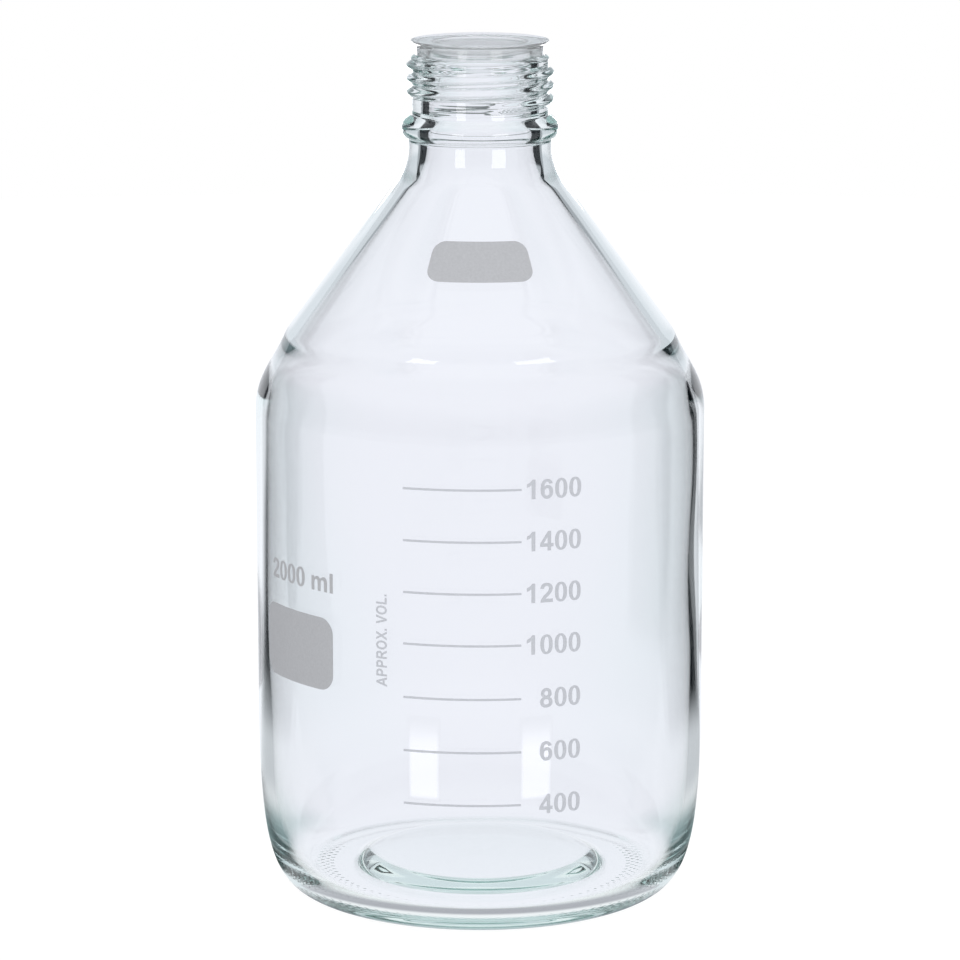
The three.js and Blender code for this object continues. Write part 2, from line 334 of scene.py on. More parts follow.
def outer_profile():
    """The outside as radius and height: the underside from its middle, and the rest to the rim."""
    step = PUNT_LEDGE + PUNT_STEP
    base = eased(
        [
            (0, step + PUNT_DOME, 0),
            (PUNT_INNER * DOME_BEND_SHARE, step + PUNT_DOME * DOME_FALL_SHARE, DOME_EASE),
            (PUNT_INNER, step, PUNT_EASE),
            (PUNT_OUTER, PUNT_LEDGE, PUNT_EASE),
            (BEARING_INNER - STIPPLE_LEAD, DOT_HEIGHT, 0),
        ],
        BASE_PITCH,
    )
    heel = bend(
        (BEARING_OUTER, 0),
        (BEARING_OUTER + HEEL_BASE_PULL, 0),
        (BODY_RADIUS, HEEL_HEIGHT - HEEL_WALL_PULL),
        (BODY_RADIUS, HEEL_HEIGHT),
        HEEL_STEPS,
    )
    heel = [point for point in heel if point[1] > DOT_HEIGHT * HEEL_CLEAR]
    wall = [(BODY_RADIUS, height) for height in between(HEEL_HEIGHT, WALL_TOP, WALL_STEPS)]
    crease = (CREASE_RADIUS, CREASE_HEIGHT)
    pull = (
        CREASE_RADIUS + BEND_PULL * math.sin(BEND_UPPER_ANGLE),
        CREASE_HEIGHT - BEND_PULL * math.cos(BEND_UPPER_ANGLE),
    )
    shoulder = bend(
        (BODY_RADIUS, WALL_TOP), (BODY_RADIUS, WALL_TOP + BEND_PULL), pull, crease, SHOULDER_STEPS
    )
    slope = math.tan(CONE_ANGLE)
    above = (
        CREASE_RADIUS - CREASE_EASE * math.sin(CONE_ANGLE),
        CREASE_HEIGHT + CREASE_EASE * math.cos(CONE_ANGLE),
    )
    shoulder = shoulder[:-1] + bend(shoulder[-2], crease, crease, above, CREASE_STEPS)[1:]
    cone = [
        (radius, CREASE_HEIGHT + (CREASE_RADIUS - radius) / slope)
        for radius in between(above[0], CONE_END_RADIUS, CONE_STEPS)
    ]
    centre = (NECK_RADIUS + NECK_FILLET, NECK_BOTTOM)
    fillet = arc(centre, NECK_FILLET, math.pi + CONE_ANGLE, math.pi, FILLET_STEPS)
    neck = [(NECK_RADIUS, NECK_BOTTOM + NECK_LENGTH / 2), (NECK_RADIUS, BEAD_BOTTOM - BEAD_LEAD)]
    nose = (BEAD_RADIUS, BEAD_BOTTOM + BEAD_NOSE)
    lower = bend(
        (NECK_RADIUS + BEAD_FOOT, BEAD_BOTTOM),
        (NECK_RADIUS + BEAD_FOOT_PULL, BEAD_BOTTOM),
        (BEAD_RADIUS, nose[1] - BEAD_NOSE_PULL),
        nose,
        BEAD_STEPS,
    )
    upper = bend(
        nose,
        (BEAD_RADIUS, nose[1] + BEAD_NOSE_PULL),
        (THREAD_ROOT + BEAD_TOP_PULL, BEAD_TOP - BEAD_TOP_PULL),
        (THREAD_ROOT, BEAD_TOP),
        BEAD_STEPS,
    )
    finish_end = FINISH_TOP - FINISH_ROUND
    finish = [(THREAD_ROOT, height) for height in between(BEAD_TOP, finish_end, THREAD_STEPS)]
    finish_centre = (THREAD_ROOT - FINISH_ROUND, finish_end)
    top = arc(finish_centre, FINISH_ROUND, 0, math.pi / 2, FINISH_STEPS)
    rim = eased(
        [
            (THREAD_ROOT - FINISH_ROUND, FINISH_TOP, 0),
            (RIM_RADIUS, FINISH_TOP, RIM_FOOT_EASE),
            (RIM_RADIUS, RIM_TOP - RIM_ROUND, 0),
        ],
        RIM_PITCH,
        SMALL_EASE_STEPS,
    )
    crown_centre = (RIM_RADIUS - RIM_ROUND, RIM_TOP - RIM_ROUND)
    crown = arc(crown_centre, RIM_ROUND, 0, math.pi / 2, RIM_STEPS)
    body = heel + wall + shoulder + cone + fillet
    mouth = neck + lower + upper[1:] + finish + top + rim[1:] + crown[1:]
    return base, body + mouth


def inner_profile():
    """The inside, from the rim down to the middle of the floor."""
    neck = NECK_RADIUS - NECK_THICKNESS
    wall = BODY_RADIUS - WALL
    across = SHOULDER_THICKNESS / math.cos(CONE_ANGLE)
    slope = math.tan(CONE_ANGLE)

    def cone_at(radius):
        return CREASE_HEIGHT + (CREASE_RADIUS - across - radius) / slope

    cone_end = neck + INNER_FILLET * (1 - math.cos(CONE_ANGLE))
    fillet_height = cone_at(cone_end) + INNER_FILLET * math.sin(CONE_ANGLE)
    crease = CREASE_RADIUS - SHOULDER_THICKNESS
    crease_height = cone_at(crease)
    floor = PUNT_LEDGE + FLOOR_THICKNESS
    plateau = floor + FLOOR_STEP
    crown_centre = (MOUTH_RADIUS + RIM_ROUND, RIM_TOP - RIM_ROUND)
    crown = arc(crown_centre, RIM_ROUND, math.pi / 2, math.pi, RIM_STEPS)
    mouth = [(MOUTH_RADIUS, height) for height in between(crown_centre[1], BEAD_TOP, MOUTH_STEPS)]
    throat = bend(
        (MOUTH_RADIUS, BEAD_TOP),
        (MOUTH_RADIUS, BEAD_BOTTOM),
        (neck, BEAD_BOTTOM),
        (neck, fillet_height),
        THROAT_STEPS,
    )
    centre = (neck + INNER_FILLET, fillet_height)
    fillet = arc(centre, INNER_FILLET, math.pi, math.pi + CONE_ANGLE, INNER_FILLET_STEPS)
    cone = [(radius, cone_at(radius)) for radius in between(cone_end, crease, CONE_STEPS)]
    shoulder = bend(
        (crease, crease_height),
        (
            crease + BEND_PULL * math.sin(CONE_ANGLE),
            crease_height - BEND_PULL * math.cos(CONE_ANGLE),
        ),
        (wall, WALL_TOP + BEND_PULL),
        (wall, WALL_TOP),
        INNER_SHOULDER_STEPS,
    )
    side = [(wall, height) for height in between(WALL_TOP, INNER_HEEL_HEIGHT, INNER_WALL_STEPS)]
    heel = bend(
        (wall, INNER_HEEL_HEIGHT),
        (wall, INNER_HEEL_HEIGHT - INNER_HEEL_WALL_PULL),
        (FLOOR_RADIUS + INNER_HEEL_FLOOR_PULL, floor),
        (FLOOR_RADIUS, floor),
        INNER_HEEL_STEPS,
    )
    bottom = eased(
        [
            (FLOOR_RADIUS, floor, 0),
            (FLOOR_STEP_OUTER, floor, FLOOR_STEP_OUTER_EASE),
            (FLOOR_STEP_INNER, plateau, FLOOR_STEP_INNER_EASE),
            (0, plateau + FLOOR_DOME, 0),
        ],
        FLOOR_PITCH,
    )
    return crown + mouth + throat + fillet[1:] + cone + shoulder + side + heel + bottom[1:]


def thread_rise(angle, height):
    """How far the right-handed thread stands out of its root at a place."""
    rise = 0
    length = THREAD_TURNS * TURN
    for turn in range(-1, math.ceil(THREAD_TURNS) + 1):
        along = angle + turn * TURN
        if not 0 < along < length:
            continue
        offset = height - (BEAD_TOP + THREAD_OFFSET + THREAD_PITCH * along / TURN)
        if abs(offset) >= THREAD_HALF_WIDTH:
            continue
        ridge = (0.5 + 0.5 * math.cos(math.pi * offset / THREAD_HALF_WIDTH)) ** THREAD_POWER
        fade = smooth(min(along, length - along), 0, THREAD_FADE)
        rise = max(rise, THREAD_HEIGHT * ridge * fade)
    return rise


def waves(terms, angle, height, seed=1):
    """A sum of waves that climb round the axis."""
    return sum(
        share * math.sin(lobes * angle + climb * height + begin * seed)
        for share, lobes, climb, begin in terms
    )


def glass_wave(angle, height, seed):
    """A slow unevenness, between about -1 and 1."""
    return waves(GLASS_WAVES, angle, height, seed) / GLASS_WAVES_PEAK


def glass_outside(radius, angle, height):
    if BEAD_TOP < height < FINISH_TOP - FINISH_ROUND:
        ripple = RIPPLE * waves(RIPPLE_WAVES, angle, height)
        return radius + thread_rise(angle, height) + ripple
    if PUNT_LEDGE < height < CONE_END_HEIGHT and radius > BEARING_OUTER:
        top = smooth(height, OUTSIDE_TOP_FADE_START, CONE_END_HEIGHT)
        level = smooth(height, *OUTSIDE_FOOT_FADE) * (1 - top)
        return radius - OUTSIDE_WAVE * level * (1 + glass_wave(angle, height, 1))
    return radius


def glass_inside(radius, angle, height):
    top = smooth(height, INSIDE_TOP_FADE_START, BEAD_BOTTOM)
    level = smooth(height, *INSIDE_FOOT_FADE) * (1 - top)
    thin = THIN_WALL * smooth(height, *THIN_FOOT_FADE) * (1 - smooth(height, *THIN_TOP_FADE))
    lobe = smooth(math.cos(angle - THIN_SIDE), *THIN_SPREAD)
    return radius + level * (INSIDE_WAVE * glass_wave(angle, height, 2)) + thin * lobe


def polar(radius, angle, height):
    """A point in metres: angle from -Y towards +X."""
    return (radius * math.sin(angle) * MM, -radius * math.cos(angle) * MM, height * MM)


def add_mesh(name, vertices, faces, smooth_faces=True):
    mesh = bpy.data.meshes.new(name)
    mesh.from_pydata(vertices, [], faces)
    mesh.validate()
    if smooth_faces:
        mesh.shade_smooth()
    piece = bpy.data.objects.new(name, mesh)
    scene.collection.objects.link(piece)
    return piece


def turned_faces(start, rows, steps, faces):
    """Quads of a grid of rows round the axis. Rows run so that their outside is to the right."""
    for row in range(rows - 1):
        for i in range(steps):
            a = start + row * steps + i
            b = start + row * steps + (i + 1) % steps
            faces.append((a, b, b + steps, a + steps))


def stitch(low, low_steps, high, high_steps, faces):
    """Triangles between two rows where one has a whole number of times as many points."""
    if low_steps > high_steps:
        ratio = low_steps // high_steps
        for i in range(high_steps):
            top, top_next = high + i, high + (i + 1) % high_steps
            for k in range(ratio):
                a = low + i * ratio + k
                b = low + (i * ratio + k + 1) % low_steps
                faces.append((a, b, top))
            faces.append((b, top_next, top))
        return
    ratio = high_steps // low_steps
    for i in range(low_steps):
        foot, foot_next = low + i, low + (i + 1) % low_steps
        faces.append((foot, foot_next, high + (i * ratio + ratio) % high_steps))
        for k in range(ratio):
            a = high + i * ratio + k
            b = high + (i * ratio + k + 1) % high_steps
            faces.append((foot, b, a))


def dot_share(radius, angle):
    """How much of a dot stands at a place: 1 at a dot's middle and 0 between dots."""
    share = 0
    for row in range(DOT_ROWS):
        middle = BEARING_INNER + DOT_INSET + DOT_PITCH * row
        across = (radius - middle) / DOT_RADIUS
        if abs(across) >= 1:
            continue
        turn = angle * DOTS_ROUND / TURN + 0.5 * (row % 2)
        along = (turn - round(turn)) * TURN * middle / DOTS_ROUND / DOT_RADIUS
        share = max(share, max(0, 1 - across * across - along * along) ** DOT_POWER)
    return share * (1 - DOT_WEAR * smooth(-math.cos(angle), *DOT_WEAR_FADE))


def glass_mesh():
    vertices = []
    faces = []

    def add_row(radius, height, steps, shape):
        first = len(vertices)
        for i in range(steps):
            angle = TURN * i / steps
            vertices.append(polar(shape(radius, angle, height), angle, height))
        return first

    def plain(radius, angle, height):
        return radius

    base, outside = outer_profile()
    centre = len(vertices)
    vertices.append((0, 0, base[0][1] * MM))
    first = add_row(*base[1], TURN_STEPS, plain)
    for i in range(TURN_STEPS):
        faces.append((centre, first + (i + 1) % TURN_STEPS, first + i))
    for point in base[2:]:
        add_row(*point, TURN_STEPS, plain)
    rows = len(base) - 1
    turned_faces(first, rows, TURN_STEPS, faces)
    last = first + (rows - 1) * TURN_STEPS

    # The stippled bearing ring: staggered rows of round dots that the bottle stands on
    inner, outer = BEARING_INNER - STIPPLE_MARGIN, BEARING_OUTER - STIPPLE_MARGIN
    dot_first = len(vertices)
    for row in range(BEARING_STEPS):
        radius = mix(inner, outer, row / (BEARING_STEPS - 1))
        for i in range(DOT_TURN_STEPS):
            angle = TURN * i / DOT_TURN_STEPS
            height = DOT_HEIGHT * (1 - dot_share(radius, angle))
            vertices.append(polar(radius, angle, height))
    stitch(last, TURN_STEPS, dot_first, DOT_TURN_STEPS, faces)
    turned_faces(dot_first, BEARING_STEPS, DOT_TURN_STEPS, faces)
    dot_last = dot_first + (BEARING_STEPS - 1) * DOT_TURN_STEPS

    outside.insert(0, (BEARING_OUTER + HEEL_LEAD, DOT_HEIGHT))
    first = len(vertices)
    for point in outside:
        add_row(*point, TURN_STEPS, glass_outside)
    inside = inner_profile()
    for point in inside[1:-1]:
        add_row(*point, TURN_STEPS, glass_inside)
    stitch(dot_last, DOT_TURN_STEPS, first, TURN_STEPS, faces)
    rows = len(outside) + len(inside) - 2
    turned_faces(first, rows, TURN_STEPS, faces)
    last = first + (rows - 1) * TURN_STEPS
    centre = len(vertices)
    vertices.append((0, 0, inside[-1][1] * MM))
    for i in range(TURN_STEPS):
        faces.append((last + i, last + (i + 1) % TURN_STEPS, centre))
    return vertices, faces


def turned_mesh(outline, steps):
    """A closed ring turned about +Z from an outline that runs clockwise in radius and height."""
    vertices = []
    faces = []
    for radius, height in outline:
        for i in range(steps):
            vertices.append(polar(radius, TURN * i / steps, height))
    turned_faces(0, len(outline), steps, faces)
    last = (len(outline) - 1) * steps
    for i in range(steps):
        j = (i + 1) % steps
        faces.append((last + i, last + j, j, i))
    return vertices, faces


# Materials. A grain is a noise's scale and detail, and its bump's height in metres and strength.
GLASS_IOR = 1.473
GLASS_TINT = (0.52, 0.86, 0.8)
GLASS_TINT_DENSITY = 4
GLASS_SHADOW = (0.93, 0.95, 0.95)
GLASS_GRAIN = (38, 1, 0.00006, 0.25)
PLASTIC_COLOUR = (0.94, 0.95, 0.95)
PLASTIC_IOR = 1.45
PLASTIC_TRANSMISSION = 0.86
PLASTIC_ROUGHNESS = (0.05, 0.11)
PLASTIC_GRAIN = (900, 3, 0.00003, 0.4)
ENAMEL_GREY = (0.47, 0.475, 0.49)
ENAMEL_GREY_SPREAD = 0.05
ENAMEL_PALE = (0.56, 0.575, 0.61)
ENAMEL_PALE_SPREAD = 0.04
ENAMEL_IOR = 1.5
ENAMEL_ROUGHNESS = (0.45, 0.7)
ENAMEL_GRAIN = (1400, 4, 0.00002, 0.5)
ENAMEL_RAMP = (0.3, 0.7)


def material(name):
    made = bpy.data.materials.new(name)
    made.use_nodes = True
    nodes = made.node_tree.nodes
    return made, nodes, made.node_tree.links, nodes["Principled BSDF"], nodes["Material Output"]


def grain(nodes, links, shader, scale, detail, distance, strength):
    """A noise in the part's own metres, which also bumps the surface."""
    place = nodes.new("ShaderNodeTexCoord")
    noise = nodes.new("ShaderNodeTexNoise")
    noise.inputs["Scale"].default_value = scale
    noise.inputs["Detail"].default_value = detail
    links.new(place.outputs["Object"], noise.inputs["Vector"])
    bump = nodes.new("ShaderNodeBump")
    bump.inputs["Distance"].default_value = distance
    bump.inputs["Strength"].default_value = strength
    links.new(noise.outputs["Fac"], bump.inputs["Height"])
    links.new(bump.outputs["Normal"], shader.inputs["Normal"])
    return noise


def grainy_roughness(nodes, links, shader, noise, low, high):
    levels = nodes.new("ShaderNodeMapRange")
    levels.inputs["To Min"].default_value = low
    levels.inputs["To Max"].default_value = high
    links.new(noise.outputs["Fac"], levels.inputs["Value"])
    links.new(levels.outputs["Result"], shader.inputs["Roughness"])


def glass_material():
    """Clear inside with a tint that grows with depth, and nearly clear to shadow rays."""
    made, nodes, links, shader, output = material("borosilicate_glass")
    shader.inputs["Base Color"].default_value = (1, 1, 1, 1)
    shader.inputs["Roughness"].default_value = 0
    shader.inputs["IOR"].default_value = GLASS_IOR
    shader.inputs["Transmission Weight"].default_value = 1
    grain(nodes, links, shader, *GLASS_GRAIN)
    clear = nodes.new("ShaderNodeBsdfTransparent")
    clear.inputs["Color"].default_value = (*GLASS_SHADOW, 1)
    path = nodes.new("ShaderNodeLightPath")
    mixed = nodes.new("ShaderNodeMixShader")
    links.new(path.outputs["Is Shadow Ray"], mixed.inputs["Fac"])
    links.new(shader.outputs["BSDF"], mixed.inputs[1])
    links.new(clear.outputs["BSDF"], mixed.inputs[2])
    links.new(mixed.outputs["Shader"], output.inputs["Surface"])
    tint = nodes.new("ShaderNodeVolumeAbsorption")
    tint.inputs["Color"].default_value = (*GLASS_TINT, 1)
    tint.inputs["Density"].default_value = GLASS_TINT_DENSITY
    links.new(tint.outputs["Volume"], output.inputs["Volume"])
    return made


def ring_material():
    made, nodes, links, shader, output = material("ring_plastic")
    shader.inputs["Base Color"].default_value = (*PLASTIC_COLOUR, 1)
    shader.inputs["IOR"].default_value = PLASTIC_IOR
    shader.inputs["Transmission Weight"].default_value = PLASTIC_TRANSMISSION
    noise = grain(nodes, links, shader, *PLASTIC_GRAIN)
    grainy_roughness(nodes, links, shader, noise, *PLASTIC_ROUGHNESS)
    return made


def enamel_material(name, colour, spread):
    """Matt enamel whose colour varies by a share to either side."""
    made, nodes, links, shader, output = material(name)
    shader.inputs["IOR"].default_value = ENAMEL_IOR
    noise = grain(nodes, links, shader, *ENAMEL_GRAIN)
    ramp = nodes.new("ShaderNodeValToRGB")
    dark = [channel * (1 - spread) for channel in colour]
    light = [min(1, channel * (1 + spread)) for channel in colour]
    for stop, position, channels in zip(ramp.color_ramp.elements, ENAMEL_RAMP, (dark, light)):
        stop.position = position
        stop.color = (*channels, 1)
    links.new(noise.outputs["Fac"], ramp.inputs["Fac"])
    links.new(ramp.outputs["Color"], shader.inputs["Base Color"])
    grainy_roughness(nodes, links, shader, noise, *ENAMEL_ROUGHNESS)
    return made


glass = glass_material()
ring_plastic = ring_material()
enamel = enamel_material("enamel_grey", ENAMEL_GREY, ENAMEL_GREY_SPREAD)
enamel_pale = enamel_material("enamel_pale", ENAMEL_PALE, ENAMEL_PALE_SPREAD)

# Glass
bottle = add_mesh("bottle_glass", *glass_mesh())
bottle.data.materials.append(glass)
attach(bottle, "bottle")
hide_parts("glass_bottle")

# Pouring ring
skirt_inner = RIM_RADIUS + RING_CLEARANCE
skirt_outer = skirt_inner + RING_WALL
skirt_bottom = FINISH_TOP + SKIRT_GAP
underside = RIM_TOP + RING_CLEARANCE
ring_top = underside + RING_TOP + RING_DIP
lip = skirt_outer + LIP_PROJECTION
collar_outer = MOUTH_RADIUS - RING_CLEARANCE
collar_inner = collar_outer - COLLAR_THICKNESS
collar_bottom = underside - COLLAR_DEPTH
inner_top = ring_top - RING_DIP
lip_foot = ring_top - LIP_EDGE - LIP_PROJECTION
skirt = eased(
    [
        (skirt_inner, underside, 0),
        (skirt_inner, skirt_bottom, SKIRT_INNER_EASE),
        (skirt_outer, skirt_bottom, SKIRT_OUTER_EASE),
        (skirt_outer, lip_foot, 0),
    ],
    RING_PITCH,
    SMALL_EASE_STEPS,
)
flare = arc((lip, lip_foot), LIP_PROJECTION, math.pi, math.pi / 2, LIP_STEPS)
bowl = eased(
    [
        (lip, ring_top - LIP_EDGE, 0),
        (lip, ring_top, LIP_EASE),
        (lip - LIP_FLAT, ring_top, LIP_FLAT_EASE),
        (skirt_inner, inner_top, BOWL_EASE),
        (collar_inner, inner_top, BOWL_EDGE_EASE),
        (collar_inner, collar_bottom, COLLAR_EASE),
        (collar_outer, collar_bottom, COLLAR_EASE),
        (collar_outer, underside, COLLAR_TOP_EASE),
        (skirt_inner, underside, 0),
    ],
    RING_PITCH,
    SMALL_EASE_STEPS,
)
ring_outline = skirt + flare[1:] + bowl[1:-1]
ring = add_mesh("pour_ring", *turned_mesh(ring_outline, RING_TURN_STEPS))
ring.data.materials.append(ring_plastic)
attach(ring, "ring")
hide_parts("pouring_ring")

# Enamel
for name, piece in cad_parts.items():
    if name.startswith("graduation_line"):
        piece.data.materials.clear()
        piece.data.materials.append(enamel_pale)


def enamel_piece(name, vertices, faces, finish, replaced=None):
    """A fired layer that rides on the bottle."""
    piece = add_mesh(name, vertices, faces, False)
    piece.data.materials.append(finish)
    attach(piece, "bottle")
    if replaced:
        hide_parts(replaced)


def rounded_rectangle(width, height, corner, pitch):
    """Columns of a rectangle with rounded corners: place across and half its height there."""
    left = width / 2 - corner
    columns = []
    for i in range(CORNER_STEPS + 1):
        angle = math.pi / 2 * i / CORNER_STEPS
        half = height / 2 - corner * (1 - math.sin(angle))
        columns.append((-left - corner * math.cos(angle), half))
    mirrored = [(-across, half) for across, half in reversed(columns)]
    steps = math.ceil(2 * left / pitch)
    columns += [(across, height / 2) for across in between(-left, left, steps)]
    return columns + mirrored


def patch_mesh(columns, centre, height, reach, lean):
    """A thin closed layer on the wall or, with a lean, on the cone."""
    vertices = []
    faces = []
    rows = PATCH_ROWS
    slope = math.tan(lean)
    gap = ENAMEL_GAP / math.cos(lean)
    skin = ENAMEL_THICKNESS / math.cos(lean)
    for across, half in columns:
        angle = (centre + across) / reach
        for side in (gap, gap + skin):
            for i in range(rows):
                up = mix(-half, half, i / (rows - 1)) * math.cos(lean)
                vertices.append(polar(reach - up * slope + side, angle, height + up))
    ring = 2 * rows
    around = list(range(rows)) + list(range(ring - 1, rows - 1, -1))
    for column in range(len(columns) - 1):
        a = column * ring
        for i in range(ring):
            j = (i + 1) % ring
            faces.append((a + around[i], a + around[j], a + ring + around[j], a + ring + around[i]))
    last = (len(columns) - 1) * ring
    faces.append(tuple(reversed(around)))
    faces.append(tuple(last + i for i in around))
    return vertices, faces


columns = rounded_rectangle(FIELD_WIDTH, FIELD_HEIGHT, FIELD_CORNER, FIELD_PITCH)
field_mesh = patch_mesh(columns, FIELD_CENTRE, FIELD_CENTRE_HEIGHT, BODY_RADIUS, 0)
enamel_piece("writing_field", *field_mesh, enamel, "marking_field")
columns = rounded_rectangle(SPOT_WIDTH, SPOT_HEIGHT, SPOT_CORNER, SPOT_PITCH)
spot_height = NECK_BOTTOM - SPOT_DROP
spot_reach = CREASE_RADIUS - (spot_height - CREASE_HEIGHT) * math.tan(CONE_ANGLE)
spot_mesh = patch_mesh(columns, 0, spot_height, spot_reach, CONE_ANGLE)
enamel_piece("blank_spot", *spot_mesh, enamel, "shoulder_spot")


# Numerals and words of the scale, drawn as outlines in a square of one capital's height
def oval(x, y, across, up, count=22, square=2.3):
    """Points of a slightly squared oval."""
    points = []
    for i in range(count):
        angle = TURN * i / count
        c, s = math.cos(angle), math.sin(angle)
        wide = math.copysign(abs(c) ** (2 / square), c)
        high = math.copysign(abs(s) ** (2 / square), s)
        points.append((x + across * wide, y + up * high))
    return points


def both_sides(points, middle):
    """A half outline from foot to top, with its mirror image as the other half."""
    return points + [(2 * middle - x, y) for x, y in reversed(points[1:-1])]


eight = both_sides(
    [
        (0.385, -0.015), (0.52, 0), (0.63, 0.06), (0.705, 0.17), (0.725, 0.285), (0.7, 0.39),
        (0.635, 0.475), (0.565, 0.52), (0.625, 0.57), (0.665, 0.65), (0.675, 0.735), (0.65, 0.85),
        (0.59, 0.93), (0.5, 0.985), (0.385, 1.01),
    ],
    0.385,
)
GLYPHS = {
    "0": (0.776, [oval(0.388, 0.495, 0.335, 0.512), oval(0.388, 0.495, 0.135, 0.39)]),
    "1": (0.776, [[
        (0.55, 0), (0.55, 1), (0.39, 1), (0.32, 0.9), (0.22, 0.82), (0.11, 0.77), (0.11, 0.59),
        (0.24, 0.645), (0.352, 0.72), (0.352, 0),
    ]]),
    "2": (0.776, [[
        (0.72, 0), (0.72, 0.178), (0.325, 0.178), (0.36, 0.225), (0.42, 0.285), (0.54, 0.39),
        (0.64, 0.5), (0.695, 0.6), (0.715, 0.7), (0.695, 0.82), (0.635, 0.92), (0.53, 0.985),
        (0.385, 1.01), (0.25, 0.99), (0.14, 0.93), (0.075, 0.83), (0.05, 0.71), (0.24, 0.69),
        (0.25, 0.77), (0.295, 0.83), (0.37, 0.85), (0.44, 0.84), (0.495, 0.79), (0.515, 0.71),
        (0.49, 0.61), (0.42, 0.52), (0.27, 0.38), (0.14, 0.24), (0.075, 0.12), (0.05, 0),
    ]]),
    "4": (0.776, [
        [
            (0.43, 0), (0.615, 0), (0.615, 0.2), (0.745, 0.2), (0.745, 0.37), (0.615, 0.37),
            (0.615, 1), (0.455, 1), (0.03, 0.37), (0.03, 0.2), (0.43, 0.2),
        ],
        [(0.43, 0.37), (0.215, 0.37), (0.43, 0.7)],
    ]),
    "6": (0.776, [
        [
            (0.385, -0.015), (0.51, 0.005), (0.625, 0.08), (0.695, 0.19), (0.718, 0.335),
            (0.7, 0.48), (0.645, 0.59), (0.55, 0.66), (0.44, 0.685), (0.35, 0.67), (0.285, 0.635),
            (0.245, 0.59), (0.26, 0.72), (0.305, 0.815), (0.375, 0.855), (0.44, 0.845),
            (0.485, 0.81), (0.505, 0.745), (0.69, 0.77), (0.645, 0.88), (0.54, 0.975),
            (0.39, 1.01), (0.25, 0.975), (0.135, 0.88), (0.07, 0.72), (0.045, 0.49),
            (0.065, 0.28), (0.13, 0.12), (0.24, 0.02),
        ],
        oval(0.39, 0.335, 0.135, 0.19, 16),
    ]),
    "8": (0.776, [eight, oval(0.385, 0.725, 0.11, 0.122, 14), oval(0.385, 0.28, 0.142, 0.145, 14)]),
    "m": (1.24, [[
        (0.09, 0), (0.28, 0), (0.28, 0.38), (0.29, 0.48), (0.33, 0.55), (0.41, 0.585),
        (0.475, 0.575), (0.52, 0.52), (0.53, 0.43), (0.53, 0), (0.72, 0), (0.72, 0.38),
        (0.73, 0.48), (0.77, 0.55), (0.85, 0.585), (0.91, 0.575), (0.955, 0.52), (0.965, 0.43),
        (0.965, 0), (1.155, 0), (1.155, 0.5), (1.13, 0.63), (1.07, 0.71), (0.98, 0.745),
        (0.86, 0.735), (0.76, 0.69), (0.68, 0.61), (0.62, 0.7), (0.53, 0.745), (0.42, 0.735),
        (0.33, 0.69), (0.265, 0.62), (0.265, 0.73), (0.09, 0.73),
    ]]),
    "l": (0.39, [[(0.1, 0), (0.29, 0), (0.29, 1), (0.1, 1)]]),
    "A": (1.008, [
        [(0, 0), (0.21, 0), (0.295, 0.23), (0.695, 0.23), (0.78, 0), (1, 0), (0.6, 1), (0.39, 1)],
        [(0.36, 0.4), (0.495, 0.765), (0.63, 0.4)],
    ]),
    "P": (0.93, [
        [
            (0.1, 0), (0.305, 0), (0.305, 0.375), (0.5, 0.375), (0.66, 0.39), (0.78, 0.46),
            (0.845, 0.56), (0.865, 0.69), (0.84, 0.83), (0.77, 0.93), (0.66, 0.99), (0.53, 1),
            (0.1, 1),
        ],
        [
            (0.305, 0.545), (0.46, 0.545), (0.56, 0.555), (0.63, 0.6), (0.655, 0.69), (0.63, 0.77),
            (0.57, 0.82), (0.49, 0.83), (0.305, 0.83),
        ],
    ]),
    "R": (1.008, [
        [
            (0.1, 0), (0.305, 0), (0.305, 0.42), (0.36, 0.42), (0.45, 0.4), (0.53, 0.33),
            (0.75, 0), (1, 0), (0.87, 0.22), (0.78, 0.35), (0.68, 0.44), (0.8, 0.49), (0.88, 0.6),
            (0.905, 0.73), (0.88, 0.86), (0.8, 0.96), (0.68, 1), (0.1, 1),
        ],
        [
            (0.305, 0.58), (0.5, 0.58), (0.63, 0.59), (0.685, 0.64), (0.695, 0.71), (0.67, 0.79),
            (0.6, 0.83), (0.305, 0.83),
        ],
    ]),
    "O": (1.086, [oval(0.543, 0.5, 0.48, 0.515, 26, 2.1), oval(0.543, 0.5, 0.27, 0.345, 20, 2.1)]),
    "X": (0.93, [[
        (0, 0), (0.245, 0), (0.465, 0.345), (0.685, 0), (0.935, 0), (0.595, 0.505), (0.905, 1),
        (0.665, 1), (0.47, 0.675), (0.27, 1), (0.03, 1), (0.34, 0.515),
    ]]),
    "V": (0.93, [[(0.36, 0), (0.575, 0), (0.935, 1), (0.72, 1), (0.475, 0.26), (0.22, 1), (0, 1)]]),
    "L": (0.853, [[(0.1, 0), (0.81, 0), (0.81, 0.17), (0.305, 0.17), (0.305, 1), (0.1, 1)]]),
    ".": (0.39, [[(0.1, 0), (0.29, 0), (0.29, 0.19), (0.1, 0.19)]]),
    " ": (0.39, []),
}


def text_width(text):
    return sum(GLYPHS[letter][0] for letter in text)


